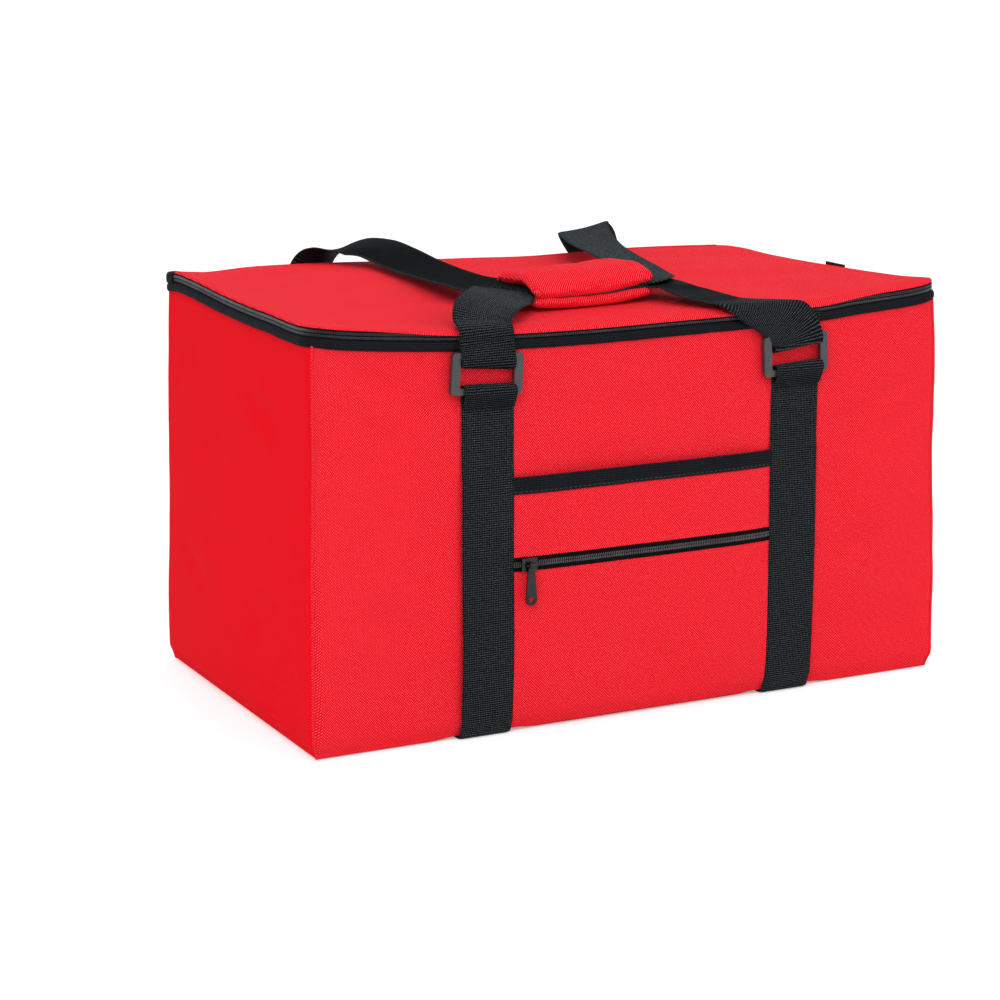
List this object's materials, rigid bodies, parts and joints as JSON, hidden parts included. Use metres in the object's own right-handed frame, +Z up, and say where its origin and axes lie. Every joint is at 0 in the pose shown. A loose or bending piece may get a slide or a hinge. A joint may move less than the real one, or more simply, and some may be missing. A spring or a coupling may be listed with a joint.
{
  "type": "insulated lunch bag",
  "caption": "Boxy insulated lunch bag with foam walls, a zipped lid hinged at the back, a zipped front pocket, and webbing handles on rings joined by a padded wrap-around grip.",
  "frame": {"origin": "centre of the footprint, on the floor under the straps", "axes": "+X along the bag's long side towards its right end, -Y out of the front with the pocket, +Z up"},
  "size_m": [0.4624, 0.272, 0.2919],
  "materials": {
    "canvas": "matte",
    "webbing": "matte",
    "zip_tape": "matte",
    "zip_teeth": "satin",
    "ring_plastic": "satin",
    "slider_metal": "satin",
    "foam": "matte",
    "liner": "gloss",
    "board": "matte",
    "hook_tape": "matte"
  },
  "bodies": {
    "bag": {"front_panel": "canvas", "back_panel": "canvas", "left_side_panel": "canvas", "right_side_panel": "canvas", "base_panel": "canvas", "corner_welt_front_left": "canvas", "corner_welt_back_left": "canvas", "corner_welt_front_right": "canvas", "corner_welt_back_right": "canvas", "front_foam": "foam", "back_foam": "foam", "left_side_foam": "foam", "right_side_foam": "foam", "base_foam": "foam", "base_board": "board", "liner_tub": "liner", "rim_binding": "webbing", "body_zip_tape": "zip_tape", "body_zip_coil": "zip_teeth", "lid_hinge_strip": "canvas", "zip_end_tab_left": "webbing", "zip_end_tab_right": "webbing", "strap_left": "webbing", "strap_right": "webbing", "pocket_lining": "canvas", "pocket_lower_panel": "canvas", "pocket_upper_panel": "canvas", "pocket_binding": "webbing", "pocket_zip_upper": "zip_teeth", "pocket_zip_lower": "zip_teeth"},
    "lid": {"lid_panel": "canvas", "lid_foam": "foam", "lid_liner": "liner", "lid_zip_tape": "zip_tape", "lid_zip_coil": "zip_teeth"},
    "front_loops": {"front_left_loop": "ring_plastic", "front_right_loop": "ring_plastic"},
    "front_legs": {"front_left_leg": "webbing", "front_right_leg": "webbing"},
    "front_handle": {"front_handle_web": "webbing", "grip_lower_leaf": "canvas", "grip_spine": "canvas", "grip_hook_strip": "hook_tape"},
    "grip_flap": {"grip_upper_leaf": "canvas", "grip_loop_strip": "hook_tape"},
    "back_loops": {"back_left_loop": "ring_plastic", "back_right_loop": "ring_plastic"},
    "back_legs": {"back_left_leg": "webbing", "back_right_leg": "webbing"},
    "back_handle": {"back_handle_web": "webbing"},
    "pocket_slider": {"pocket_zip_slider": "slider_metal"},
    "pocket_pull": {"pocket_zip_pull": "slider_metal"},
    "lid_front_slider": {"lid_zip_front_slider": "slider_metal"},
    "lid_front_pull": {"lid_zip_front_pull": "slider_metal"},
    "lid_rear_slider": {"lid_zip_rear_slider": "slider_metal"},
    "lid_rear_pull": {"lid_zip_rear_pull": "slider_metal"}
  },
  "joints": [
    {"name": "lid_hinge", "type": "hinge", "parent": "bag", "child": "lid", "pos_m": [0, 0.1256, 0.26985], "axis": [-1, 0, 0], "range_deg": [0, 120]},
    {"name": "front_rings_tilt", "type": "hinge", "parent": "bag", "child": "front_loops", "pos_m": [0, -0.1298, 0.217], "axis": [1, 0, 0], "range_deg": [0, 20]},
    {"name": "front_legs_turn", "type": "hinge", "parent": "front_loops", "child": "front_legs", "pos_m": [0, -0.1298, 0.239], "axis": [1, 0, 0], "range_deg": [0, 160], "deforming": ["front_left_leg", "front_right_leg"]},
    {"name": "front_handle_fold", "type": "hinge", "parent": "front_legs", "child": "front_handle", "pos_m": [0, -0.1281, 0.26484], "axis": [1, 0, 0], "range_deg": [0, 90], "deforming": ["front_handle_web", "grip_lower_leaf", "grip_spine", "grip_hook_strip"]},
    {"name": "grip_flap_open", "type": "hinge", "parent": "front_handle", "child": "grip_flap", "pos_m": [0, -0.0376, 0.27518], "axis": [-1, 0, 0], "range_deg": [0, 120], "deforming": ["grip_upper_leaf", "grip_loop_strip"]},
    {"name": "back_rings_tilt", "type": "hinge", "parent": "bag", "child": "back_loops", "pos_m": [0, 0.1298, 0.217], "axis": [-1, 0, 0], "range_deg": [0, 20]},
    {"name": "back_legs_turn", "type": "hinge", "parent": "back_loops", "child": "back_legs", "pos_m": [0, 0.1298, 0.239], "axis": [-1, 0, 0], "range_deg": [0, 160], "deforming": ["back_left_leg", "back_right_leg"]},
    {"name": "back_handle_fold", "type": "hinge", "parent": "back_legs", "child": "back_handle", "pos_m": [0, 0.1281, 0.2723], "axis": [-1, 0, 0], "range_deg": [0, 90], "deforming": ["back_handle_web"]},
    {"name": "pocket_slider_slide", "type": "slide", "parent": "bag", "child": "pocket_slider", "axis": [1, 0, 0], "range_m": [0, 0.168]},
    {"name": "pocket_pull_swing", "type": "hinge", "parent": "pocket_slider", "child": "pocket_pull", "pos_m": [-0.0842, -0.1365, 0.11], "axis": [-1, 0, 0], "range_deg": [0, 150]},
    {"name": "lid_front_slider_slide", "type": "slide", "parent": "bag", "child": "lid_front_slider", "axis": [0, -0.9995, 0.0318], "range_m": [0, 0.094]},
    {"name": "lid_front_pull_swing", "type": "hinge", "parent": "lid_front_slider", "child": "lid_front_pull", "pos_m": [0.23195, -0.006, 0.26265], "axis": [0, -1, 0], "range_deg": [0, 150]},
    {"name": "lid_rear_slider_slide", "type": "slide", "parent": "bag", "child": "lid_rear_slider", "axis": [0, 0.9995, -0.0318], "range_m": [0, 0.094]},
    {"name": "lid_rear_pull_swing", "type": "hinge", "parent": "lid_rear_slider", "child": "lid_rear_pull", "pos_m": [0.23195, 0.006, 0.26265], "axis": [0, -1, 0], "range_deg": [0, 150]}
  ],
  "couplings": [
    {"joint": "front_legs_turn", "follows": "lid_hinge", "ratio": 1.3333},
    {"joint": "front_handle_fold", "follows": "lid_hinge", "ratio": 0.75},
    {"joint": "back_legs_turn", "follows": "lid_hinge", "ratio": 1.3333},
    {"joint": "back_handle_fold", "follows": "lid_hinge", "ratio": 0.75}
  ]
}
